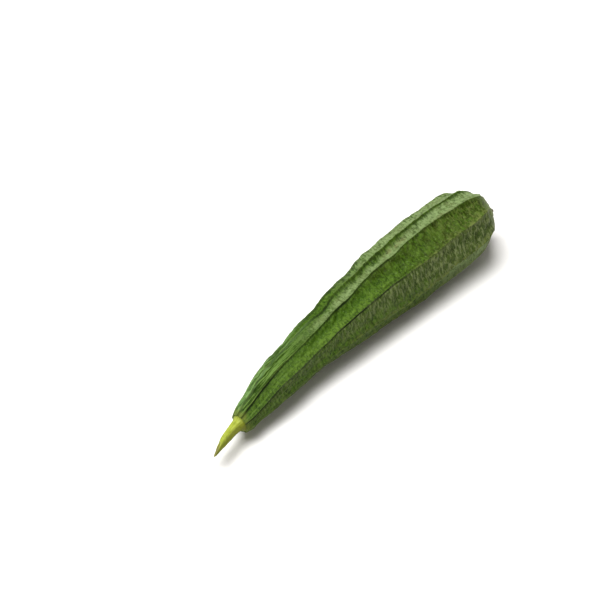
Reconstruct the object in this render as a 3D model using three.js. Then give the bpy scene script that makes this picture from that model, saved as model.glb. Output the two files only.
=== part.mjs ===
// A ridge gourd (Luffa acutangula), picked and lying on its side on z = 0.
// Millimetres, +Z up. +X runs from the cut stalk to the blossom end. x is 0 where the neck's end would be,
// if the neck weren't lifted.
// Angles round the fruit are in degrees, from the -Y side up over the top towards +Y.
import * as THREE from "three";

// ---- Driving dimensions of the fruit ----
const fruitLength = 300; // from the neck face to the blossom tip, before the neck's own reach
const shoulderLength = 8; // rounded shoulder between the neck face and the neck
const shoulderRadius = 10.9; // over the crests, as are all the radii below
const neckRadius = 11.5;
const collarRadius = 15.8;
const waistRadius = 18; // where the neck stops widening for a while
const flankRadius = 26;
const bellyRadius = 30.3;
const domeRadius = 30.6; // where the blossom end starts to close
const neckLip = 2; // land of the neck face outside the stalk's foot
const domeLength = 44; // blossom end, up to the tip
const domeBulge = 2.4; // higher is blunter
const domePoint = 1.35; // higher is more pointed
const sideBow = 9.3; // sideways bow of the middle line, towards +Y
const bowFlatness = 3.5; // higher spreads the bow over more of the length
const tipShift = 1.6; // sideways shift of the blossom tip, towards +Y
const tipDrop = 5.2; // how far the blossom tip hangs below the middle line
const tipTurn = 3; // higher keeps that shift and that drop nearer the tip
const endRise = 4; // lift of the middle line where the blossom end starts to round off
const endRisePlace = 28; // distance of that lift from the tip
const endRiseReach = 16; // how far along the fruit it is spread
const neckLift = 6.5; // height of the neck over where it would lie flat
const liftStart = 190; // x where the belly starts to rise into the neck
const liftEnd = 40; // x where that rise is complete
const neckLean = 0.69; // how much that rise carries the neck towards -Y, for each millimetre
const neckReach = 0.73; // how much it lengthens the neck, for each millimetre
const ridgeHeight = 3.8; // crest over the middle of the face beside it, at the belly
const crestLand = 0.035; // rounded crest's share of the face on either side
const ridgeAngles = [3, 48.5, 88, 116, 148, 184, 220, 256, 289, 325];
const neckTwist = -7.5; // turn of the ridges from the blossom tip to the neck
const restingWear = 0.5; // how far the lowest crests are pressed flat by the weight

// ---- Driving dimensions of the stalk and of the blossom scar ----
const stalkLength = 34; // along X, to the long side of the slanting cut
const stalkRadius = 4.1; // halfway along
const stalkFootRadius = 6.3; // flared foot on the neck face
const stalkTipRadius = 3.5; // at the cut
const stalkCutLength = 11; // length of the slanting cut, along X
const stalkCutSide = 325; // angle round the stalk of the cut's long side
const stalkSway = -5.8; // sideways drift of the cut end, towards -Y
const stalkLobe = 0.06; // depth of the five blunt angles, as a share of the radius
const scarRadius = 3.2; // dried foot of the flower
const scarLength = 4.5;
const seatGap = 0.3; // clearance where the stalk and the scar meet the fruit

// ---- Mesh density ----
const faceSteps = [crestLand, 0.18, 0.38, 0.62, 0.82, 1 - crestLand];
const bodyRings = 30;
const domeRings = 9;
const stalkSides = 20;
const scarSides = 15;

const radians = THREE.MathUtils.degToRad;
const neckFaceRadius = stalkFootRadius + neckLip;
const domeStart = fruitLength - domeLength;

// Crest radius at each share of the length before the dome.
const crestStations = [
  [0, neckFaceRadius],
  [shoulderLength / domeStart, shoulderRadius],
  [0.06, neckRadius],
  [0.155, collarRadius],
  [0.29, waistRadius],
  [0.57, flankRadius],
  [0.8, bellyRadius],
  [1, domeRadius],
];

// Smooth curve through [place, value] stations, with a slope at each from its neighbours.
function smoothThrough(stations, place) {
  const last = stations.length - 1;
  const slopeAt = (k) => {
    const [before, after] = [stations[Math.max(k - 1, 0)], stations[Math.min(k + 1, last)]];
    return (after[1] - before[1]) / (after[0] - before[0]);
  };
  let i = 0;
  while (i < last - 1 && place > stations[i + 1][0]) i++;
  const span = stations[i + 1][0] - stations[i][0];
  const t = THREE.MathUtils.clamp((place - stations[i][0]) / span, 0, 1);
  const rise = t * t * (3 - 2 * t);
  return (
    stations[i][1] * (1 - rise) +
    stations[i + 1][1] * rise +
    span * t * (1 - t) * (slopeAt(i) * (1 - t) - slopeAt(i + 1) * t)
  );
}

// Radius over the crests, without the dome's taper.
function bodyRadius(x) {
  return smoothThrough(crestStations, Math.min(x, domeStart) / domeStart);
}

function domeTaper(x) {
  const share = Math.max(x - domeStart, 0) / domeLength;
  return Math.pow(1 - Math.pow(share, domeBulge), domePoint);
}

// Where along the fruit the dome has narrowed to the given radius.
function domePlace(radius) {
  const taper = Math.pow(radius / domeRadius, 1 / domePoint);
  return domeStart + domeLength * Math.pow(1 - taper, 1 / domeBulge);
}

function ridgeAnglesAt(x) {
  const turn = neckTwist * (1 - x / fruitLength);
  return ridgeAngles.map((angle) => radians(angle + turn));
}

// Middle line: bowed sideways, as high as the belly's lowest crest needs to touch z = 0, and lifted at the neck.
function middle(x) {
  const lift = neckLift * (1 - THREE.MathUtils.smoothstep(x, liftEnd, liftStart));
  const bow = sideBow * (1 - Math.pow(Math.abs((2 * x) / fruitLength - 1), bowFlatness));
  const tip = Math.pow(1 - domeTaper(x), tipTurn);
  const risePlace = fruitLength - endRisePlace;
  const rise = endRise * Math.exp(-Math.pow((x - risePlace) / endRiseReach, 2));
  const reach = Math.max(...ridgeAnglesAt(x).map((angle) => -Math.sin(angle)));
  const height = reach * bodyRadius(Math.max(x, shoulderLength)) - restingWear;
  return new THREE.Vector3(
    x - neckReach * lift,
    bow + tipShift * tip - neckLean * lift,
    height + rise + lift - tipDrop * tip,
  );
}

// A point at a radius and an angle round a middle point, never below the resting surface.
function around(centre, radius, angle) {
  return new THREE.Vector3(
    centre.x,
    centre.y - radius * Math.cos(angle),
    Math.max(centre.z + radius * Math.sin(angle), 0),
  );
}

// One section of the fruit: sharp crests with a hollow face between each pair.
function fruitRing(x) {
  const centre = middle(x);
  const crest = bodyRadius(x) * domeTaper(x);
  const hollow = (ridgeHeight * crest) / bellyRadius;
  const angles = ridgeAnglesAt(x);
  return angles.flatMap((angle, k) => {
    const next = k + 1 < angles.length ? angles[k + 1] : angles[0] + 2 * Math.PI;
    return faceSteps.map((step) => {
      const across = (step - crestLand) / (1 - 2 * crestLand);
      const sink = hollow * Math.pow(Math.max(Math.sin(Math.PI * across), 0), 0.8);
      return around(centre, crest - sink, angle + step * (next - angle));
    });
  });
}

function fruitRings() {
  const shoulder = [0, 0.12, 0.35, 0.65].map((share) => share * shoulderLength);
  const rest = domeStart - shoulderLength;
  const body = [...Array(bodyRings).keys()].map((k) => shoulderLength + (rest * k) / bodyRings);
  const end = domePlace(scarRadius);
  const dome = [...Array(domeRings + 1).keys()].map(
    (k) => domeStart + (end - domeStart) * Math.sin((Math.PI / 2) * (k / domeRings)),
  );
  return [...shoulder, ...body, ...dome].map(fruitRing);
}

// The stalk's middle line and radius, at a share of its length from the neck face.
function stalkMiddle(share) {
  const foot = middle(0);
  return new THREE.Vector3(
    foot.x - seatGap - share * (stalkLength - stalkCutLength / 2),
    foot.y + stalkSway * Math.pow(share, 1.15),
    foot.z + 0.8 * Math.sin(Math.PI * share),
  );
}

function stalkRadiusAt(share) {
  const shaft = stalkRadius + (stalkRadius - stalkTipRadius) * (1 - 2 * share);
  return shaft + (stalkFootRadius - shaft) * Math.exp(-share * 11);
}

// Rings run towards +X, so the cut end comes first. Each is sheared into the slanting cut.
function stalkRings() {
  const shares = [1, 0.85, 0.68, 0.5, 0.34, 0.2, 0.11, 0.05, 0];
  return shares.map((share) => {
    const centre = stalkMiddle(share);
    const shear = (stalkCutLength / 2) * Math.pow(share, 4);
    return [...Array(stalkSides).keys()].map((k) => {
      const angle = (2 * Math.PI * k) / stalkSides;
      const lobe = 1 + stalkLobe * Math.cos(5 * angle);
      const point = around(centre, stalkRadiusAt(share) * lobe, angle);
      point.x -= shear * Math.cos(angle - radians(stalkCutSide));
      return point;
    });
  });
}

// Dried foot of the flower: a short lobed cap that closes to a blunt point.
function scarRings() {
  const start = domePlace(scarRadius);
  const seat = middle(start);
  return [0, 0.3, 0.6, 0.85, 1].map((share) => {
    const centre = new THREE.Vector3(start + seatGap + share * scarLength, seat.y, seat.z);
    const radius = scarRadius * (0.92 - 0.62 * Math.pow(share, 1.7));
    return [...Array(scarSides).keys()].map((k) => {
      const angle = (2 * Math.PI * k) / scarSides;
      return around(centre, radius * (1 + 0.08 * Math.cos(3 * angle)), angle);
    });
  });
}

// Closed skin over rings that run towards +X, with a fan at each end.
function skinOver(rings) {
  const count = rings[0].length;
  const ends = [rings[0], rings[rings.length - 1]].map((ring) =>
    ring.reduce((sum, p) => sum.add(p), new THREE.Vector3()).divideScalar(count),
  );
  const first = rings.length * count;
  const faces = [];
  for (let j = 0; j < count; j++) {
    const next = (j + 1) % count;
    for (let i = 0; i + 1 < rings.length; i++) {
      const [a, b] = [i * count, (i + 1) * count];
      faces.push(a + j, b + j, b + next, a + j, b + next, a + next);
    }
    const top = (rings.length - 1) * count;
    faces.push(first, j, next, first + 1, top + next, top + j);
  }
  const geometry = new THREE.BufferGeometry().setFromPoints([...rings.flat(), ...ends]);
  geometry.setIndex(faces);
  geometry.computeVertexNormals();
  return geometry;
}

function piece(name, rings, color, roughness) {
  const material = new THREE.MeshStandardMaterial({ color, roughness, metalness: 0 });
  const mesh = new THREE.Mesh(skinOver(rings), material);
  mesh.name = name;
  return mesh;
}

const group = new THREE.Group();
group.add(piece("fruit", fruitRings(), 0x3f6b24, 0.55));
group.add(piece("stalk", stalkRings(), 0xa3b445, 0.6));
group.add(piece("blossom_scar", scarRings(), 0x7a5a30, 0.85));

// The origin is the middle of the footprint, on the resting surface.
const footprint = new THREE.Box3().setFromObject(group).getCenter(new THREE.Vector3());
group.position.set(-footprint.x, -footprint.y, 0);

export default group;
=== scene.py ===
"""A ridge gourd (Luffa acutangula), picked and lying on its side.

Shapes are in millimetres until they become a mesh. x is the place along the fruit, from 0 at the neck
face to LENGTH at the blossom tip. Angles round it run from the -Y side up over the top.
"""
import math

import bpy
import numpy as np
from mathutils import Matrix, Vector


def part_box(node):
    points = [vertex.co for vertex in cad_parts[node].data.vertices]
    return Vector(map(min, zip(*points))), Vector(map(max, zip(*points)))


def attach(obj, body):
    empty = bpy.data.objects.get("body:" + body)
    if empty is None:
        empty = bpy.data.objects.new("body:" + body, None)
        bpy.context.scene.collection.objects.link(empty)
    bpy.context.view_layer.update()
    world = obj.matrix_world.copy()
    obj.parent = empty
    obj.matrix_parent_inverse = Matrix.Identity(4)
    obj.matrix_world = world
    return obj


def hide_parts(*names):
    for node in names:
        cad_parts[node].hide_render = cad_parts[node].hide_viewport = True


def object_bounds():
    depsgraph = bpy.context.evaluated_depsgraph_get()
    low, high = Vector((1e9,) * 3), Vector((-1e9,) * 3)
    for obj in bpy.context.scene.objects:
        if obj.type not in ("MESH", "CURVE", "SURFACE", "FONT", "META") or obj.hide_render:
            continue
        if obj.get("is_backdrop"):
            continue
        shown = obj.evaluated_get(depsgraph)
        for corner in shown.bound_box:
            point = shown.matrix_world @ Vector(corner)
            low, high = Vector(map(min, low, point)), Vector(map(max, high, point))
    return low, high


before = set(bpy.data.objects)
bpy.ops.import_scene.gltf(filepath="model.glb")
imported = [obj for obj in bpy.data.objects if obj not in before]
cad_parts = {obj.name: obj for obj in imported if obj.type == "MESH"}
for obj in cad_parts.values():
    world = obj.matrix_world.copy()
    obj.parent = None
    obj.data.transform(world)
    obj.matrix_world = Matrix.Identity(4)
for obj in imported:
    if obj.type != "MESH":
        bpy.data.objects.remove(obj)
cad_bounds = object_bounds()

MM = 0.001

# ---- Camera ----
VIEW_AZIMUTH, VIEW_ELEVATION = math.radians(-46.5), math.radians(45)
VIEW_DISTANCE, VIEW_ANGLE = 1.1717, math.radians(23.5)
VIEW_AIM = Vector((-0.0003, 0.0556, 0))  # from the middle of the footprint


def direction(azimuth, elevation):
    """Unit vector from the object. Azimuth 0 is the -Y side, and it grows towards +X."""
    flat = math.cos(elevation)
    return Vector((math.sin(azimuth) * flat, -math.cos(azimuth) * flat, math.sin(elevation)))


def aimed(data, name, place, target):
    """Object that looks from a place at a target."""
    made = bpy.data.objects.new(name, data)
    made.location = place
    made.rotation_euler = (target - place).to_track_quat("-Z", "Y").to_euler()
    bpy.context.scene.collection.objects.link(made)
    return made


def make_camera():
    lens = bpy.data.cameras.new("camera")
    lens.angle = VIEW_ANGLE
    place = VIEW_AIM + VIEW_DISTANCE * direction(VIEW_AZIMUTH, VIEW_ELEVATION)
    bpy.context.scene.camera = aimed(lens, "camera", place, VIEW_AIM)


make_camera()

# ---- The fruit's own shape ----
LENGTH = 300.0
SHOULDER_LENGTH = 8.0  # rounded shoulder round the neck face
DOME_LENGTH = 44.0  # blossom end
DOME_START = LENGTH - DOME_LENGTH
DOME_BULGE, DOME_POINT = 2.4, 1.35
# Radius over the crests, at each share of the length before the dome.
CREST_STATIONS = np.array([
    (0.0, 8.3), (SHOULDER_LENGTH / DOME_START, 10.9), (0.06, 11.5), (0.155, 15.8),
    (0.29, 18.0), (0.57, 26.0), (0.8, 30.3), (1.0, 30.6),
])
BELLY_RADIUS = 30.3
SIDE_BOW, BOW_FLATNESS = 9.3, 3.5
TIP_SHIFT, TIP_DROP, TIP_TURN = 1.6, 5.2, 3
# Lift of the middle line where the blossom end starts to round off.
END_RISE, END_RISE_PLACE, END_RISE_REACH = 4.0, LENGTH - 28, 16.0
# Height of the neck over where it would lie flat. The rise starts and is complete at these x.
NECK_LIFT, LIFT_START, LIFT_END = 6.5, 190.0, 40.0
NECK_LEAN, NECK_REACH = 0.69, 0.73  # how far each millimetre of lift carries it towards -Y and -X
RIDGE_ANGLES = np.radians([-104, -71, -35, 3, 48.5, 88, 116, 148, 184, 220])
NECK_TWIST = math.radians(-7.5)
RESTING_WEAR = 0.5  # the lowest crests are pressed flat by this much
RIDGE_HEIGHT = 3.8  # crest over the middle of the face beside it, at the belly
FACE_FLATNESS = 0.4  # lower spreads the hollow's full depth over more of the face
CREST_ROUNDING = 0.0004  # 0 would leave the crests knife-sharp
SCAR_RADIUS = 3.2

# ---- Mesh density of the fruit ----
RIDGES = len(RIDGE_ANGLES)
FACE_COLUMNS = 25  # from one crest to the next
SHOULDER_ROWS, BODY_ROWS, DOME_ROWS = 14, 312, 58
CREST_CROWDING = 0.5  # 0 spaces the columns evenly, 1 crowds them at the crests
CAP_SHARES = (0.66, 0.33)  # rings inside each end, as shares of its radius


def smooth_through(stations, place):
    """Smooth curve through (place, value) stations, with a slope at each from its neighbours."""
    places, values = stations[:, 0], stations[:, 1]
    last = len(places) - 1
    before = np.maximum(np.arange(last + 1) - 1, 0)
    after = np.minimum(np.arange(last + 1) + 1, last)
    slopes = (values[after] - values[before]) / (places[after] - places[before])
    i = np.clip(np.searchsorted(places, place) - 1, 0, last - 1)
    span = places[i + 1] - places[i]
    t = np.clip((place - places[i]) / span, 0, 1)
    rise = t * t * (3 - 2 * t)
    bend = span * t * (1 - t) * (slopes[i] * (1 - t) - slopes[i + 1] * t)
    return values[i] * (1 - rise) + values[i + 1] * rise + bend


def body_radius(x):
    return smooth_through(CREST_STATIONS, np.minimum(x, DOME_START) / DOME_START)


def dome_taper(x):
    share = np.clip((x - DOME_START) / DOME_LENGTH, 0, 1)
    return (1 - share**DOME_BULGE) ** DOME_POINT


def dome_place(radius):
    taper = (radius / CREST_STATIONS[-1, 1]) ** (1 / DOME_POINT)
    return DOME_START + DOME_LENGTH * (1 - taper) ** (1 / DOME_BULGE)


def straight_crests(x):
    """Angle of each ridge at each x, with the twist towards the neck and no waviness."""
    return RIDGE_ANGLES[None, :] + (NECK_TWIST * (1 - x / LENGTH))[:, None]


def smooth_step(low, high, value):
    t = np.clip((value - low) / (high - low), 0, 1)
    return t * t * (3 - 2 * t)


def bell(value, place, reach):
    """1 at the place, and close to 0 beyond twice the reach from it."""
    return np.exp(-(((value - place) / reach) ** 2))


def middle(x):
    """Middle line (x, y, z): bowed sideways, resting on z = 0 at the belly, and lifted at the neck."""
    tip = (1 - dome_taper(x)) ** TIP_TURN
    rise = END_RISE * bell(x, END_RISE_PLACE, END_RISE_REACH)
    lift = NECK_LIFT * (1 - smooth_step(LIFT_END, LIFT_START, x))
    bow = SIDE_BOW * (1 - np.abs(2 * x / LENGTH - 1) ** BOW_FLATNESS)
    reach = (-np.sin(straight_crests(x))).max(1)
    height = reach * body_radius(np.maximum(x, SHOULDER_LENGTH)) - RESTING_WEAR
    sideways = bow + TIP_SHIFT * tip - NECK_LEAN * lift
    return x - NECK_REACH * lift, sideways, height + rise + lift - TIP_DROP * tip


def middle_at(x):
    """The same at a single x."""
    return [values[0] for values in middle(np.array([float(x)]))]


def frame_shift():
    """What to add to (x, y) so that the neck face and the widest crests match the CAD fruit's box."""
    low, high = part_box("fruit")
    x = np.linspace(0, LENGTH, 400)
    radius = body_radius(x) * dome_taper(x)
    sideways = middle(x)[1][:, None] - radius[:, None] * np.cos(straight_crests(x))
    centre = (sideways.min() + sideways.max()) / 2
    return low.x / MM - middle_at(0)[0], (low.y + high.y) / 2 / MM - centre


SHIFT_X, SHIFT_Y = frame_shift()


def soft_noise(seed, shape, along, across):
    """Noise of mean 0 and spread 1 that closes on itself, with blobs of that many rows and columns."""
    grid = np.random.default_rng(seed).standard_normal(shape)
    f_along = np.fft.fftfreq(shape[0])[:, None] * along
    f_across = np.fft.rfftfreq(shape[1])[None, :] * across
    spectrum = np.fft.rfft2(grid) * np.exp(-2 * math.pi**2 * (f_along**2 + f_across**2))
    spectrum[0, 0] = 0
    noise = np.fft.irfft2(spectrum, shape)
    return noise / noise.std()


FOLD_WIDTH = 0.38  # of a noise's spread


def folds(seed, shape, along, across):
    """Thin winding folds, from 0 between them to 1 on their tops, strongest here and there."""
    winding = bell(soft_noise(seed, shape, along, across), 0, FOLD_WIDTH)
    return winding * smooth_step(-0.9, 0.9, soft_noise(seed + 50, shape, 5 * along, 2 * across))


# ---- Surface detail of the fruit, in millimetres ----
# Slow sideways waves of each crest: degrees, waves over the length, and the share of it where one starts.
CREST_WAVES = [
    (1.0, 1.5, 0.2), (1.0, 1.2, 0.5), (2.6, 1.7, 0.15), (3.2, 1.85, 0.77), (3.0, 1.67, 0.28),
    (2.6, 1.1, 0.3), (3.6, 1.0, 0.0), (2.5, 1.3, 0.1), (3.0, 1.6, 0.4), (2.5, 1.2, 0.7),
]
CREST_WANDER = 0.22  # quick sideways wander of the crests
CREST_SWELL = 0.28  # quick rise and fall of the crests
CREST_JAG = 0.14  # small nicks of the crests
KNOBBLY_RIDGES, KNOBBLY_RISE = [3, 4], 1.6  # growth of their nicks towards the blossom end
LIP_HEIGHT, LIP_WIDTH = 0.28, 0.6  # thin raised edge along each crest
GROOVE_DEPTH, GROOVE_WIDTH, GROOVE_PLACE = 0.4, 0.6, 1.0  # sunken line under each crest
# The next three tables hold, for single ridges: ridge, value near the neck, value near the blossom end,
# and x halfway between them.
RIMS = [  # strength of the crest's yellowish rim
    (2, 0.7, 0.8, 100), (3, 0.3, 1.0, 110), (4, 0.1, 0.9, 185), (5, 0.45, 0.1, 60), (6, 0.5, 0.1, 70),
    (7, 0.5, 0.2, 70),
]
RIM_WIDTHS = [(2, 0.9, 1.3, 110), (3, 1.0, 2.4, 110), (4, 0.7, 2.2, 185)]
LINES = [  # strength of the dark line under the crest: partly the rind's own line, partly painted shadow of the crest
    (3, 1.1, 0.2, 150), (4, 1.25, 0.15, 165), (5, 1.25, 0.3, 160), (6, 0.8, 0.35, 150), (7, 0.6, 0.3, 150),
]
USUAL_RIM, USUAL_RIM_WIDTH, USUAL_LINE = 0.4, 0.8, 0.5
# Local rises and nicks of single crests: ridge, x, height, reach along x.
CREST_MARKS = [
    (6, 86, 1.2, 9), (7, 86, 1.2, 9), (6, 106, -1.1, 6), (7, 106, -1.1, 6),
    (6, 122, 0.9, 6), (7, 122, 0.9, 6),
    (6, 147, -1.1, 8), (7, 147, -1.1, 8), (2, 90, -1.3, 30), (2, 192, 1.5, 22),
    (6, 262, -1.0, 10), (6, 283, 1.6, 8), (5, 282, 2.4, 9), (4, 286, -1.3, 8), (3, 283, -1.8, 10),
    (2, 282, -0.8, 10),
]
# Local turns of single crests: ridge, x, degrees, reach along x.
CREST_TURNS = [
    (5, 274, -6.0, 16), (5, 180, -3.2, 14), (5, 127, -3.0, 9), (4, 230, 2.8, 14), (4, 14, -5.0, 14),
    (3, 228, 3.0, 18), (3, 165, -1.8, 14), (4, 103, 2.6, 10), (6, 45, 1.5, 14),
]
DENT_HEIGHT, BUMP_HEIGHT, WRINKLE_HEIGHT, PIT_DEPTH, RIB_HEIGHT = 0.4, 0.36, 0.6, 0.35, 0.5
RIBS_PER_FACE = 4  # fine lengthwise ribs of the neck
RIBBED, USUAL_RIBBED = {2: 0.35, 4: 0.3, 5: 1.0, 6: 1.0}, 0.6  # their strength on single faces
VEINED, USUAL_VEINED = {2: 0.2, 3: 0.3, 4: 0.35, 5: 1.0, 6: 1.0}, 0.8  # strength of the neck's pale veins
# (x, share of the radius) of the rings inside the neck face's rim.
NECK_FACE = [(0.9, 0.6), (0.75, 0.7), (0.45, 0.82), (0.15, 0.92), (0.02, 0.97)]
NECK_END = 95.0  # the ribs fade out here


def row_places():
    """x of each row of vertices: close in the shoulder, even along the body and round the end."""
    shoulder = SHOULDER_LENGTH * np.linspace(0, 1, SHOULDER_ROWS, endpoint=False) ** 1.6
    body = np.linspace(SHOULDER_LENGTH, DOME_START, BODY_ROWS, endpoint=False)
    turn = np.linspace(0, 1, DOME_ROWS) ** 0.85
    dome = DOME_START + (dome_place(SCAR_RADIUS) - DOME_START) * np.sin(math.pi / 2 * turn)
    return np.concatenate([shoulder, body, dome])


def wavy_crests(x, radius):
    """Angle of each ridge at each x, with its slow waves and its quick wander."""
    share = (x / LENGTH)[:, None]
    size, waves, start = (np.array(column) for column in zip(*CREST_WAVES))
    slow = np.radians(size) * np.sin(2 * math.pi * waves * (share - start))
    quick = soft_noise(21, (len(x), RIDGES), 6, 0) * CREST_WANDER / np.maximum(radius, 6)[:, None]
    crests = straight_crests(x) + (slow + quick) * smooth_step(0, 25, x)[:, None]
    for ridge, place, turn, reach in CREST_TURNS:
        crests[:, ridge] += math.radians(turn) * bell(x, place, reach)
    return crests


def crest_heights(x):
    """Rise of each crest over the smooth outline, at each x."""
    swell = CREST_SWELL * soft_noise(22, (len(x), RIDGES), 9, 0)
    knobs = CREST_JAG * soft_noise(23, (len(x), RIDGES), 1.5, 0)
    knobs[:, KNOBBLY_RIDGES] *= 1 + KNOBBLY_RISE * smooth_step(150, 230, x)[:, None]
    swell = swell + knobs
    for ridge, place, height, reach in CREST_MARKS:
        swell[:, ridge] += height * bell(x, place, reach)
    return swell * smooth_step(0, 20, x)[:, None]


FACES = (2, 3, 4, 5, 6)  # low, side, front, top and upper: on the camera's side, from the lowest up
SKIN_ZERO_ANGLE = math.radians(70)


def face_strength(strengths, usual):
    """A strength that is the same all over each face, from {face: strength}."""
    faces = [strengths.get(face, usual) for face in range(RIDGES)]
    return np.repeat(faces, FACE_COLUMNS)[None, :]


class FruitGrid:
    """The fruit's rows and columns: points in millimetres, and what the material reads at each."""

    def __init__(self):
        self.x = row_places()
        face_x, face_share = np.array(NECK_FACE).T
        self.x = np.concatenate([face_x, self.x])
        spread = np.concatenate([face_share, np.ones(len(self.x) - len(face_share))])
        columns = np.arange(FACE_COLUMNS) / FACE_COLUMNS
        self.t = columns - CREST_CROWDING * np.sin(2 * math.pi * columns) / (2 * math.pi)
        self.shape = (len(self.x), RIDGES * FACE_COLUMNS)
        self.crest = body_radius(self.x) * dome_taper(self.x) * spread
        self.size = (self.crest / BELLY_RADIUS)[:, None]
        self.place_columns()
        self.measure_crests()
        self.add_relief()
        self.place_points()

    def place_columns(self):
        crests = wavy_crests(self.x, self.crest)
        following = np.roll(crests, -1, axis=1)
        following[:, -1] += 2 * math.pi
        gap = (following - crests)[:, :, None]
        self.angle = (crests[:, :, None] + self.t * gap).reshape(self.shape)
        self.gap = np.broadcast_to(gap, gap.shape[:2] + (FACE_COLUMNS,)).reshape(self.shape)
        self.across = np.tile(self.t, RIDGES)[None, :] + np.zeros(self.shape)
        self.face = np.repeat(np.arange(RIDGES), FACE_COLUMNS)[None, :] + np.zeros(self.shape)

    def measure_crests(self):
        """Distance to the crest behind and to the one ahead, and the outline's swell between them."""
        width = self.gap * self.crest[:, None]
        self.from_crest, self.to_crest = self.across * width, (1 - self.across) * width
        self.nearest = np.minimum(self.from_crest, self.to_crest)
        swell = crest_heights(self.x)
        blend = smooth_step(0, 1, self.t)
        following = np.roll(swell, -1, axis=1)[:, :, None]
        self.swell = (swell[:, :, None] * (1 - blend) + following * blend).reshape(self.shape)

    def add_relief(self):
        x = self.x[:, None]
        body, neck = smooth_step(60, 170, x), 1 - smooth_step(30, NECK_END, x)
        mid_face, off_crest = smooth_step(0.5, 3.0, self.nearest), smooth_step(0.4, 1.4, self.nearest)
        bumps = soft_noise(31, self.shape, 1.5, 1.5)
        wrinkles = folds(32, self.shape, 1.5, 5.0) + 0.5 * soft_noise(39, self.shape, 1.0, 3.2)
        pits = smooth_step(1.1, 2.4, soft_noise(33, self.shape, 1.4, 1.6))
        self.fine = mid_face * (bumps * (0.6 + 0.4 * body) + wrinkles * (0.35 + 0.65 * body))
        ribs = np.cos(2 * math.pi * RIBS_PER_FACE * self.across + soft_noise(34, self.shape, 40, 6))
        self.relief = (
            DENT_HEIGHT * soft_noise(35, self.shape, 22, 7) * mid_face
            + BUMP_HEIGHT * bumps * mid_face * (0.5 + 0.5 * body)
            + WRINKLE_HEIGHT * wrinkles * mid_face * (0.25 + 0.75 * body)
            - PIT_DEPTH * pits * mid_face
            + RIB_HEIGHT * ribs * neck * face_strength(RIBBED, USUAL_RIBBED) * off_crest
        )

    def from_ridges(self, table, usual):
        """A value that changes along each ridge, on the whole face that starts at it."""
        values = np.full((len(self.x), RIDGES), usual)
        for ridge, neck, end, place in table:
            values[:, ridge] = neck + (end - neck) * smooth_step(place - 30, place + 30, self.x)
        return np.repeat(values, FACE_COLUMNS, axis=1)

    def near_ridges(self, table, usual):
        """The same, on the nearer half of the faces on both sides of each ridge."""
        values = self.from_ridges(table, usual)
        return np.where(self.across < 0.5, values, np.roll(values, -FACE_COLUMNS, 1))

    def place_points(self):
        end = 1 - 0.6 * smooth_step(262, 290, self.x)[:, None]
        hollow = RIDGE_HEIGHT * self.size * end * (1 + 0.12 * soft_noise(36, self.shape, 30, 20))
        bowl = (np.sin(math.pi * self.across) ** 2 + CREST_ROUNDING) ** FACE_FLATNESS
        sink = hollow * (bowl - CREST_ROUNDING**FACE_FLATNESS)
        lip_size = LIP_HEIGHT * (1 + 0.35 * soft_noise(37, self.shape, 4, 30))
        lip = lip_size * bell(self.nearest, 0, LIP_WIDTH)
        under = bell(self.to_crest, GROOVE_PLACE, GROOVE_WIDTH)
        over = bell(self.from_crest, GROOVE_PLACE, GROOVE_WIDTH)
        broken = 0.45 + 0.55 * smooth_step(-0.9, 0.6, soft_noise(40, self.shape, 9, 20))
        line = self.from_ridges(LINES, USUAL_LINE)
        # the groove is sunk into the shape; the material also darkens it, partly as the rind's own line,
        # partly as painted shadow of the crest
        self.groove = (under * np.roll(line, -FACE_COLUMNS, 1) + 0.2 * over * line) * broken
        detail = self.swell + self.relief + lip - LIP_HEIGHT * 0.5 - GROOVE_DEPTH * self.groove
        radius = self.crest[:, None] - sink + detail * np.minimum(1.6 * self.size, 1)
        along, side, height = (values[:, None] for values in middle(self.x))
        y = side - radius * np.cos(self.angle)
        z = height + radius * np.sin(self.angle)
        self.points = np.stack([np.broadcast_to(along, self.shape), y, np.maximum(z, 0)], -1)

    def pale_and_sheen(self, x):
        """Strength of the pale upper faces, partly their own waxy bloom and partly painted sheen and light
        where they face up, with painted light from the floor on the low face towards the blossom end; and of
        the painted sheen along the upper crests and on the neck's upper side.
        """
        low, _, _, top, upper = (self.face == number for number in FACES)
        body = smooth_step(170, 215, x)
        near_crest = smooth_step(0.95, 0.35 + 0.4 * body, self.across)
        # pale: partly the upper faces' own waxy bloom, partly painted sheen and light where they face up to
        # the lamp
        pale = upper * smooth_step(115, 190, x) + top * smooth_step(60, 120, x) * near_crest
        # painted light from the bright floor on the low face towards the blossom end
        pale = pale + 0.9 * low * smooth_step(190, 250, x)
        above = upper | (top & (self.across > 0.5))
        # painted sheen: a pale streak along the upper crests of the neck and over its upper face
        painted_sheen = bell(self.nearest, 0.7, 0.8) * bell(x, 45, 38) * above + 0.7 * upper * bell(x, 12, 22)
        return pale, painted_sheen

    def grey_and_shade(self, x):
        """Strength of the grey-green lower faces, partly their own tone and partly painted reflection of the
        white floor, and of the dark olive on the front and top faces, partly their own patches and partly
        painted shade under the upper crests.
        """
        low, side, front, top, _ = (self.face == number for number in FACES)
        greener = smooth_step(215, 170, x) * smooth_step(0.55, 0.15, self.across)
        # grey-green of the side and low faces: partly the rind's own tone, partly painted reflection of the
        # white floor
        grey_and_reflection = side * (0.35 + 0.55 * smooth_step(60, 200, x)) * (1 - 0.8 * greener)
        grey_and_reflection = grey_and_reflection + low * (0.25 + 0.65 * smooth_step(200, 250, x))
        # painted shade under the upper crest of the front face
        under = bell(x, 150, 45) * smooth_step(0.5, 0.9, self.across)
        # the front face's own dark olive patches towards the blossom end, plus the painted shade under its
        # upper crest
        shade = front * (0.6 * under + 0.5 * smooth_step(130, 180, x) + 0.5 * smooth_step(190, 235, x))
        # painted shade on the top face under its upper crest
        return grey_and_reflection, np.minimum(shade + 0.45 * top * smooth_step(0.78, 0.97, self.across), 1)

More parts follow.
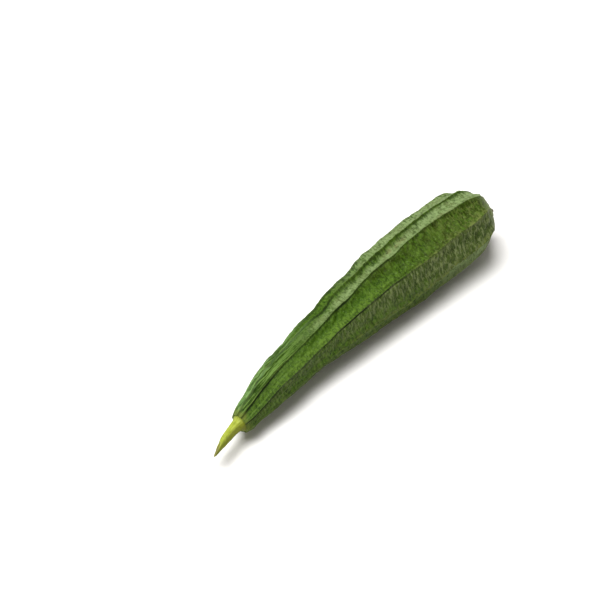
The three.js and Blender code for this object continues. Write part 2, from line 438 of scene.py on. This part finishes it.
    def attributes(self):
        """What the rind's material reads at each vertex."""
        x = self.x[:, None]
        low, side, front, top, upper = (self.face == number for number in FACES)
        turned = (self.angle - SKIN_ZERO_ANGLE) * self.crest[:, None]
        rim_width = self.near_ridges(RIM_WIDTHS, USUAL_RIM_WIDTH)
        end = smooth_step(269, 284, x)
        pale, painted_sheen = self.pale_and_sheen(x)
        grey_and_reflection, shade = self.grey_and_shade(x)
        vivid = front * bell(x, 100, 60) * bell(self.across, 0.55, 0.35)
        scuffs = bell(x, 188, 12) * bell(self.across, 0.55, 0.2)
        scuffs = scuffs + bell(x, 236, 10) * bell(self.across, 0.12, 0.14)
        return {
            "skin": np.stack([x + np.zeros(self.shape), turned, np.zeros(self.shape)], -1),
            "crest": self.near_ridges(RIMS, USUAL_RIM) * bell(self.nearest, 0, rim_width),
            "groove": np.clip(self.groove, 0, 1),
            "fine": self.fine,
            "pale": pale,
            "painted_sheen": painted_sheen,
            "grey_and_reflection": grey_and_reflection,
            "shade": shade * (1 - end),
            "vivid": vivid + 0.8 * (top | upper) * bell(x, 70, 45),
            # painted light on the upward-facing part of the front face, just above its lower crest
            "light": front * bell(self.from_crest, 2.5, 3.5) * bell(x, 95, 65),
            "net": 0.6 * front * smooth_step(170, 270, x) + 0.3 * side + 0.4 * low,
            "neck": (1 - smooth_step(25, 110, x)) * face_strength(VEINED, USUAL_VEINED),
            "foot": 1 - smooth_step(0.5, 7.0, x + 2.2 * soft_noise(38, self.shape, 4, 5)),
            # painted light on the faces round the blossom end, in place of a fill lamp from that side
            "end": end * (0.95 * (front | side | low) + 0.6 * top),
            "scuff": 0.5 * top * scuffs,
        }


def ring_caps(points, attributes):
    """Closes both ends of a grid with smaller rings and a middle vertex each."""
    ends = []
    for ring in (points[0], points[-1]):
        centre = ring.mean(0)
        ends.append([centre + share * (ring - centre) for share in CAP_SHARES] + [centre])
    rows = np.concatenate([np.stack(ends[0][:-1][::-1]), points, np.stack(ends[1][:-1])])
    inner = len(CAP_SHARES)
    grown = {
        name: np.concatenate([values[:1]] * inner + [values] + [values[-1:]] * inner)
        for name, values in attributes.items()
    }
    return rows, np.stack([ends[0][-1], ends[1][-1]]), grown


def closed_mesh(name, points, attributes=None):
    """Object with a closed skin over rows of points that run towards +X, given in fruit millimetres."""
    rows, centres, attributes = ring_caps(points, attributes or {})
    count, columns = rows.shape[:2]
    flat = np.concatenate([rows.reshape(-1, 3), centres])
    flat = (flat + np.array([SHIFT_X, SHIFT_Y, 0])) * MM
    i, j = np.meshgrid(np.arange(count - 1), np.arange(columns), indexing="ij")
    beside = (j + 1) % columns
    corners = [i * columns + j, (i + 1) * columns + j, (i + 1) * columns + beside, i * columns + beside]
    quads = np.stack([c.ravel() for c in corners], 1)
    j = np.arange(columns)
    beside = (j + 1) % columns
    first, last = count * columns, (count - 1) * columns
    fans = np.concatenate([
        np.stack([np.full(columns, first), j, beside], 1),
        np.stack([np.full(columns, first + 1), last + beside, last + j], 1),
    ])
    mesh = bpy.data.meshes.new(name)
    mesh.from_pydata(flat.tolist(), [], quads.tolist() + fans.tolist())
    for attribute, values in attributes.items():
        width = values.shape[2:] or (1,)
        ends = np.stack([values[0].mean(0), values[-1].mean(0)])
        data = np.concatenate([values.reshape(-1, *width), ends.reshape(-1, *width)]).astype(np.float32)
        kind, key = ("FLOAT_VECTOR", "vector") if width == (3,) else ("FLOAT", "value")
        mesh.attributes.new(attribute, kind, "POINT").data.foreach_set(key, data.ravel())
    mesh.shade_smooth()
    made = bpy.data.objects.new(name, mesh)
    bpy.context.scene.collection.objects.link(made)
    return made


# ---- Material building ----
def new_material(name):
    material = bpy.data.materials.new(name)
    material.use_nodes = True
    tree = material.node_tree
    tree.nodes.clear()
    return material, tree


def add_node(tree, kind, inputs=(), output=0, **settings):
    """One output of a new node. Inputs go by name or number, and are sockets or plain values."""
    node = tree.nodes.new("ShaderNode" + kind)
    for key, value in settings.items():
        setattr(node, key, value)
    for key, value in dict(inputs).items():
        if isinstance(value, bpy.types.NodeSocket):
            tree.links.new(value, node.inputs[key])
        else:
            node.inputs[key].default_value = value
    return node.outputs[output]


def attribute(tree, name, output="Fac"):
    return add_node(tree, "Attribute", output=output, attribute_name=name)


def mix_color(tree, factor, low, high, blend="MIX"):
    """Blend of two colours, each a socket or (r, g, b)."""
    colours = [c if isinstance(c, bpy.types.NodeSocket) else (*c, 1) for c in (low, high)]
    inputs = {0: factor, 6: colours[0], 7: colours[1]}
    return add_node(tree, "Mix", inputs, output=2, data_type="RGBA", blend_type=blend)


def math_node(tree, operation, *values):
    return add_node(tree, "Math", enumerate(values), operation=operation)


def map_range(tree, value, low, high, to_low=0.0, to_high=1.0):
    inputs = {"Value": value, "From Min": low, "From Max": high, "To Min": to_low, "To Max": to_high}
    return add_node(tree, "MapRange", inputs, clamp=True, interpolation_type="SMOOTHSTEP")


def noise(tree, vector, scale, stretch=(1, 1, 1), detail=3.0, roughness=0.55):
    moved = add_node(tree, "Mapping", {"Vector": vector, "Scale": stretch})
    inputs = {"Vector": moved, "Scale": scale, "Detail": detail, "Roughness": roughness}
    return add_node(tree, "TexNoise", inputs)


def finish_material(material, tree, shader):
    output = tree.nodes.new("ShaderNodeOutputMaterial")
    tree.links.new(shader, output.inputs["Surface"])
    return material


DEEP_GREEN = (0.013, 0.036, 0.001)
MID_GREEN = (0.056, 0.120, 0.006)
LIGHT_GREEN = (0.100, 0.180, 0.018)
VIVID_GREEN = (0.034, 0.086, 0.001)
# also the colour of painted shade under the upper crests
DARK_OLIVE = (0.026, 0.042, 0.001)
# also the colour of painted sheen and light on the upper faces and the low face
PALE_GREEN = (0.195, 0.275, 0.105)
OLIVE_GREY = (0.185, 0.225, 0.090)
NET_YELLOW = (0.135, 0.175, 0.038)
VEIN_GREEN = (0.170, 0.290, 0.060)
# colour of the painted sheen on the neck
SHEEN_GREEN = (0.190, 0.340, 0.110)
# colour of the painted light round the blossom end
PAINTED_END_LIGHT = (0.270, 0.320, 0.160)
CREST_GREEN = (0.130, 0.165, 0.038)
DARK_GREY = (0.027, 0.047, 0.003)
DRY_GREEN = (0.110, 0.125, 0.045)
LINE_AND_SHADOW_GREEN = (0.004, 0.011, 0.001)
FOOT_GREEN = (0.150, 0.185, 0.030)
SCUFF_BROWN = (0.160, 0.085, 0.030)


def warped(tree, vector, scale, reach):
    """A vector in millimetres, pushed about by noise, so that stretched patterns on it bend and lean."""
    push = add_node(tree, "TexNoise", {"Vector": vector, "Scale": scale, "Detail": 1.0}, output=1)
    centred = add_node(tree, "VectorMath", {0: push, 1: (0.5, 0.5, 0.5)}, operation="SUBTRACT")
    inputs = {0: centred, "Scale": 2 * reach}
    moved = add_node(tree, "VectorMath", inputs, operation="SCALE")
    return add_node(tree, "VectorMath", {0: vector, 1: moved}, operation="ADD")


def thin_lines(tree, value, width):
    """1 on the lines where a noise passes its middle, 0 beside them."""
    away = math_node(tree, "ABSOLUTE", math_node(tree, "SUBTRACT", value, 0.5))
    return map_range(tree, away, 0.0, width, 1.0, 0.0)


def rind_patterns(tree, skin):
    """The rind's patterns, each from 0 to 1, in millimetres along and round the fruit."""
    bent = warped(tree, skin, 0.22, 0.8)
    return {
        "patches": map_range(tree, noise(tree, skin, 0.07, detail=2.0), 0.35, 0.65),
        "clouds": map_range(tree, noise(tree, bent, 0.13, (1.0, 0.6, 1), 4.0, 0.6), 0.36, 0.62),
        "mottle": map_range(tree, noise(tree, bent, 0.42, (1.2, 0.8, 1), 5.0, 0.7), 0.44, 0.57),
        "flecks": map_range(tree, noise(tree, bent, 0.62, (1.0, 0.22, 1), 4.0, 0.7), 0.46, 0.59),
        "net": thin_lines(tree, noise(tree, bent, 0.36, (1.0, 0.30, 1), 2.0, 0.5), 0.065),
        "veins": map_range(tree, noise(tree, skin, 0.5, (0.06, 1.0, 1), 4.0, 0.65), 0.46, 0.58),
        "worn": map_range(tree, noise(tree, skin, 0.45, (0.5, 1, 1), 3.0, 0.6), 0.42, 0.62),
        "specks": map_range(tree, noise(tree, skin, 0.8, detail=1.0), 0.62, 0.70),
        "grain": noise(tree, skin, 1.3, detail=4.0, roughness=0.7),
    }


RIND_READS = (
    "crest", "groove", "fine", "pale", "painted_sheen", "grey_and_reflection", "shade", "vivid", "light", "net", "neck", "foot",
    "end", "scuff",
)


def between(tree, pattern, low, high):
    """A pattern squeezed from 0 to 1 into a narrower range."""
    return map_range(tree, pattern, 0.0, 1.0, low, high)


def layer(tree, color, top_color, *factors):
    """A colour over another, by the product of the factors."""
    factor = factors[0]
    for other in factors[1:]:
        factor = math_node(tree, "MULTIPLY", factor, other)
    return mix_color(tree, factor, color, top_color)


def green_color(tree, read, pattern, uneven):
    """Mottled greens of the rind, with veins, painted sheen streaks on the neck, painted shade under the
    upper crests and a painted lit band on the front face.
    """
    color = mix_color(tree, pattern["mottle"], DEEP_GREEN, MID_GREEN)
    color = layer(tree, color, LIGHT_GREEN, pattern["patches"], pattern["flecks"], 0.4)
    color = layer(tree, color, VIVID_GREEN, read["vivid"], 0.65)
    # dark olive: the front face's own patches and painted shade under the upper crests
    color = layer(tree, color, DARK_OLIVE, read["shade"], map_range(tree, uneven, 0.5, 2.5, 1.0, 0.2))
    color = layer(tree, color, LIGHT_GREEN, map_range(tree, read["fine"], -0.4, 2.4), 0.35)
    color = layer(tree, color, DEEP_GREEN, read["neck"], 0.55)
    color = layer(tree, color, VEIN_GREEN, read["neck"], pattern["veins"], 0.8)
    # painted sheen on the neck, streaked along the veins
    color = layer(tree, color, SHEEN_GREEN, read["painted_sheen"], between(tree, pattern["veins"], 0.35, 1.0))
    # painted light on the front face above its lower crest
    return layer(tree, color, LIGHT_GREEN, read["light"], between(tree, pattern["mottle"], 0.3, 0.9))


def rind_color(tree, read, pattern):
    """Colour of the rind from what it reads at each vertex and from its patterns."""
    uneven = math_node(tree, "ADD", pattern["mottle"], pattern["clouds"])
    uneven = math_node(tree, "ADD", uneven, pattern["flecks"])
    color = green_color(tree, read, pattern, uneven)
    # grey-green lower faces: partly their own tone, partly painted reflection of the white floor
    color = layer(tree, color, DARK_GREY, read["grey_and_reflection"], 0.7)
    color = layer(tree, color, OLIVE_GREY, read["grey_and_reflection"], between(tree, pattern["flecks"], 0.08, 0.95))
    color = layer(tree, color, NET_YELLOW, read["net"], pattern["net"], 0.9)
    # pale faces: partly waxy bloom, partly painted sheen and light, and painted floor light on the low face
    color = layer(tree, color, DRY_GREEN, read["pale"], pattern["patches"], 0.6)
    color = layer(tree, color, PALE_GREEN, read["pale"], map_range(tree, uneven, 0.5, 1.9, 0.2, 1.0))
    # painted light on the faces round the blossom end
    color = layer(tree, color, PAINTED_END_LIGHT, read["end"], between(tree, pattern["flecks"], 0.6, 1.0))
    color = layer(tree, color, PALE_GREEN, pattern["specks"], 0.3)
    color = layer(tree, color, CREST_GREEN, read["crest"], between(tree, pattern["worn"], 0.1, 1.0))
    # dark line under the crests: partly the rind's own line, partly painted shadow of the overhanging crest
    color = layer(tree, color, LINE_AND_SHADOW_GREEN, read["groove"])
    color = layer(tree, color, FOOT_GREEN, read["foot"], between(tree, pattern["veins"], 0.35, 0.9))
    return layer(tree, color, SCUFF_BROWN, read["scuff"], pattern["worn"])


def rind_material():
    """Living green rind: mottled, netted and flecked, with worn crests, dark lines under them that are
    partly painted shadow, and scuffs, and with painted sheen, light, shade and floor reflection in its
    colour.
    """
    material, tree = new_material("ridge_gourd_rind")
    pattern = rind_patterns(tree, attribute(tree, "skin", "Vector"))
    read = {name: attribute(tree, name) for name in RIND_READS}
    flecks = math_node(tree, "MULTIPLY", pattern["flecks"], 0.5)
    net = math_node(tree, "MULTIPLY", pattern["net"], 0.4)
    height = math_node(tree, "ADD", math_node(tree, "ADD", pattern["grain"], flecks), net)
    bump = add_node(tree, "Bump", {"Strength": 0.6, "Distance": 0.0007, "Height": height})
    shader = add_node(tree, "BsdfPrincipled", {
        "Base Color": rind_color(tree, read, pattern), "Normal": bump,
        "Roughness": map_range(tree, pattern["grain"], 0.3, 0.7, 0.45, 0.62),
        "IOR": 1.45, "Specular IOR Level": 0.12,
    })
    return finish_material(material, tree, shader)


# ---- Stalk, in millimetres ----
STALK_LENGTH, STALK_RADIUS, STALK_TIP_RADIUS = 34.0, 3.8, 3.3
STALK_FOOT_RADIUS, STALK_START = 6.2, -0.3
CUT_LENGTH, CUT_SIDE, CUT_DISH = 11.0, math.radians(325), 1.1
CUT_RIM_ROUNDING = 0.35
STALK_SWAY, STALK_ARCH = -5.8, 0.8
STALK_ROWS, STALK_SIDES = 110, 120
FOOT_ROLL = [(0.0, 6.5), (0.4, 6.8), (0.9, 6.7), (1.4, 6.0)]  # (x, radius) round the foot's edge
CUT_RINGS = (0.12, 0.3, 0.48, 0.64, 0.78, 0.88, 0.95, 0.985)


def stalk_middle(share):
    along, side, height = middle_at(0)
    return (
        along + STALK_START - share * (STALK_LENGTH - CUT_LENGTH / 2),
        side + STALK_SWAY * np.maximum(share, 0) ** 1.15,
        height + STALK_ARCH * np.sin(math.pi * share),
    )


def stalk_radius(share):
    shaft = STALK_RADIUS + (STALK_RADIUS - STALK_TIP_RADIUS) * (1 - 2 * share)
    return shaft + (STALK_FOOT_RADIUS - shaft) * np.exp(-share * 11)


def stalk_points():
    """Rows from inside the slanting cut, over its rim and down the shaft to the foot on the neck."""
    share = 1 - np.linspace(0, 1, STALK_ROWS) ** 0.9
    x, y, z = (values[:, None] for values in stalk_middle(share))
    angle = 2 * math.pi * np.arange(STALK_SIDES)[None, :] / STALK_SIDES
    shape = (STALK_ROWS, STALK_SIDES)
    lobes = 1 + 0.07 * np.cos(5 * angle) * smooth_step(0, 0.25, share)[:, None]
    ribs = 0.09 * np.cos(19 * angle + 1.2 * soft_noise(41, shape, 25, 10))
    rough = 0.10 * soft_noise(42, shape, 9, 7) + 0.045 * soft_noise(43, shape, 2.5, 2)
    rim = CUT_RIM_ROUNDING * bell(share, 1, 0.02)[:, None]
    radius = stalk_radius(share)[:, None] * lobes + ribs + rough - rim
    slant = np.cos(angle - CUT_SIDE)
    shear = CUT_LENGTH / 2 * share[:, None] ** 4 * slant
    shaft = np.stack([x - shear, y - radius * np.cos(angle), z + radius * np.sin(angle)], -1)
    return np.concatenate([cut_rows(shaft[0]), shaft, foot_rows(angle[0])])


def cut_rows(rim):
    centre = rim.mean(0)
    rows = []
    for share in CUT_RINGS:
        ring = centre + share * (rim - centre)
        ring[:, 0] += CUT_DISH * (1 - share**4)
        rows.append(ring)
    return np.stack(rows)


def foot_rows(angle):
    """The foot's edge: it clasps the neck with a blunt lobe on every ridge."""
    along, side, height = middle_at(0)
    wave = 0.22 * np.cos(5 * angle + 0.6) + 0.16 * np.cos(9 * angle + 2.0)
    rows = []
    for x, radius in FOOT_ROLL:
        reach = radius + wave * min(x, 1)
        y, z = side - reach * np.cos(angle), height + reach * np.sin(angle)
        rows.append(np.stack([along + x + 0.4 * wave, y, z], -1))
    return np.stack(rows)


def grid_skin(points):
    """Material coordinates in millimetres on a grid of rows: the way along, and the way round."""
    step = np.linalg.norm(np.diff(points, axis=0), axis=2).mean(1)
    along = np.concatenate([[0], np.cumsum(step)])[:, None]
    around = np.arange(points.shape[1])[None, :] * 2 * math.pi / points.shape[1]
    flat = np.zeros(points.shape[:2])
    return np.stack([along + flat, 4 * np.cos(around) + flat, 4 * np.sin(around) + flat], -1)


# ---- Blossom scar, in millimetres ----
SCAR_LENGTH, SCAR_SINK = 4.3, 1.2
SCAR_ROWS, SCAR_SIDES = 48, 96


def scar_points():
    """Dried, corky foot of the flower: lobed, flared where it sits on the fruit, ragged at its point."""
    start = dome_place(SCAR_RADIUS)
    side, height = middle_at(start)[1:]
    share = np.linspace(0, 1, SCAR_ROWS)[:, None]
    angle = 2 * math.pi * np.arange(SCAR_SIDES)[None, :] / SCAR_SIDES
    shape = (SCAR_ROWS, SCAR_SIDES)
    profile = 1.02 - 0.20 * smooth_step(0.12, 0.4, share) - 0.50 * share**2.2
    lobes = 1 + (0.05 + 0.13 * share) * np.cos(5 * angle + 0.4) + 0.06 * np.cos(3 * angle + 1.9)
    rough = 0.14 * soft_noise(51, shape, 4, 4) + 0.08 * soft_noise(52, shape, 1.2, 1.5)
    radius = SCAR_RADIUS * profile * lobes + rough
    ragged = 0.35 * soft_noise(53, (1, SCAR_SIDES), 0, 3) * share
    x = start - SCAR_SINK + (SCAR_SINK + SCAR_LENGTH) * share + ragged
    y, z = side - radius * np.cos(angle), height + radius * np.sin(angle)
    return np.stack([x, y, z], -1)


STALK_YELLOW = (0.290, 0.340, 0.030)
STALK_PALE = (0.360, 0.410, 0.065)
STALK_GREEN = (0.115, 0.155, 0.005)
STALK_OLIVE = (0.105, 0.100, 0.008)
STALK_PAINTED_SHADE = (0.110, 0.120, 0.004)
CUT_CREAM = (0.160, 0.155, 0.030)
SCAR_DARK = (0.040, 0.030, 0.008)
SCAR_BROWN = (0.130, 0.100, 0.035)
SCAR_PALE = (0.220, 0.180, 0.080)


def stalk_material():
    """Fresh stalk: yellow-green with fine fibres, with painted shade on its -Y side, darker towards the cut,
    cream in it.
    """
    material, tree = new_material("gourd_stalk_skin")
    skin = attribute(tree, "skin", "Vector")
    fibres = map_range(tree, noise(tree, skin, 1.2, (0.12, 1, 1), 3.0), 0.35, 0.68)
    blotch = map_range(tree, noise(tree, skin, 0.22, detail=3.0), 0.42, 0.68)
    color = mix_color(tree, fibres, STALK_YELLOW, STALK_PALE)
    color = mix_color(tree, math_node(tree, "MULTIPLY", blotch, 0.45), color, STALK_GREEN)
    color = mix_color(tree, attribute(tree, "foot"), color, STALK_GREEN)
    # painted shade on the stalk's -Y side
    color = mix_color(tree, attribute(tree, "under"), color, STALK_PAINTED_SHADE)
    color = mix_color(tree, attribute(tree, "end"), color, STALK_OLIVE)
    color = mix_color(tree, attribute(tree, "cut"), color, CUT_CREAM)
    grain = noise(tree, skin, 1.6, (0.25, 1, 1), 4.0, 0.6)
    bump = add_node(tree, "Bump", {"Strength": 0.4, "Distance": 0.0004, "Height": grain})
    roughness = map_range(tree, grain, 0.3, 0.7, 0.42, 0.6)
    shader = add_node(tree, "BsdfPrincipled", {
        "Base Color": color, "Roughness": roughness, "Normal": bump,
        "IOR": 1.45, "Specular IOR Level": 0.2,
        "Subsurface Weight": 0.12, "Subsurface Radius": (0.003, 0.003, 0.001), "Subsurface Scale": 0.6,
    })
    return finish_material(material, tree, shader)


def scar_material():
    """Dry cork: brown with pale cracked ridges and darker hollows."""
    material, tree = new_material("blossom_scar_cork")
    skin = attribute(tree, "skin", "Vector")
    grain = noise(tree, skin, 0.9, detail=5.0, roughness=0.7)
    color = mix_color(tree, map_range(tree, grain, 0.35, 0.65), SCAR_DARK, SCAR_BROWN)
    flecks = map_range(tree, noise(tree, skin, 1.8, detail=2.0), 0.58, 0.7)
    color = mix_color(tree, math_node(tree, "MULTIPLY", flecks, 0.6), color, SCAR_PALE)
    bump = add_node(tree, "Bump", {"Strength": 0.7, "Distance": 0.0006, "Height": grain})
    shader = add_node(tree, "BsdfPrincipled", {"Base Color": color, "Roughness": 0.85, "Normal": bump})
    return finish_material(material, tree, shader)


def dress(piece, material, node):
    """Gives a piece its material and its body, and hides the CAD part that it stands in for."""
    piece.data.materials.append(material)
    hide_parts(node)
    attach(piece, "root")


def make_fruit():
    grid = FruitGrid()
    piece = closed_mesh("fruit_rind", grid.points, grid.attributes())
    dress(piece, rind_material(), "fruit")


def make_stalk():
    points = stalk_points()
    flat = np.zeros(points.shape[:2])
    along = points[:, :, 0] - middle_at(0)[0]
    turn = 2 * math.pi * np.arange(STALK_SIDES)[None, :] / STALK_SIDES
    row = np.arange(len(points))[:, None] - len(CUT_RINGS)
    attributes = {
        "skin": grid_skin(points),
        "cut": 1 - smooth_step(-2.0, 0.0, row) + flat,
        "end": 0.75 * smooth_step(-26, -35, along),
        "foot": 0.5 * smooth_step(-3, 0.5, along),
        # painted shade on the stalk's -Y side
        "under": 0.75 * smooth_step(0.1, 0.95, np.cos(turn + math.radians(5))) + flat,
    }
    piece = closed_mesh("cut_stalk", points, attributes)
    dress(piece, stalk_material(), "stalk")


def make_scar():
    points = scar_points()
    piece = closed_mesh("blossom_scar_cork", points, {"skin": grid_skin(points)})
    dress(piece, scar_material(), "blossom_scar")


# ---- Floor and light ----
FLOOR_SIZE = 14.0
FLOOR_COLOR = (0.86, 0.85, 0.84)
SKY_COLOR, SKY_STRENGTH = (1.0, 0.94, 0.88), 0.28
KEY_PLACE = 3.5 * direction(math.radians(-136), math.radians(75))
KEY_SIZE, KEY_POWER = 2.6, 210.0


def make_floor():
    half = FLOOR_SIZE / 2
    mesh = bpy.data.meshes.new("studio_floor")
    corners = [(-half, -half, 0), (half, -half, 0), (half, half, 0), (-half, half, 0)]
    mesh.from_pydata(corners, [], [(0, 1, 2, 3)])
    floor = bpy.data.objects.new("studio_floor", mesh)
    bpy.context.scene.collection.objects.link(floor)
    material, tree = new_material("studio_floor")
    shader = add_node(tree, "BsdfPrincipled", {"Base Color": (*FLOOR_COLOR, 1), "Roughness": 0.9})
    mesh.materials.append(finish_material(material, tree, shader))
    floor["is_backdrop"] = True


def make_light():
    world = bpy.data.worlds.new("studio")
    world.use_nodes = True
    background = world.node_tree.nodes["Background"]
    background.inputs["Color"].default_value = (*SKY_COLOR, 1)
    background.inputs["Strength"].default_value = SKY_STRENGTH
    bpy.context.scene.world = world
    key = bpy.data.lights.new("key", "AREA")
    key.shape, key.size, key.energy = "SQUARE", KEY_SIZE, KEY_POWER
    aimed(key, "key", KEY_PLACE, Vector((0, 0, 0)))
    bpy.context.scene.view_settings.view_transform = "Standard"


make_fruit()
make_stalk()
make_scar()
make_floor()
make_light()

sizes = {"cad": cad_bounds, "visual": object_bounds()}
sizes = {name: [list(corner) for corner in corners] for name, corners in sizes.items()}
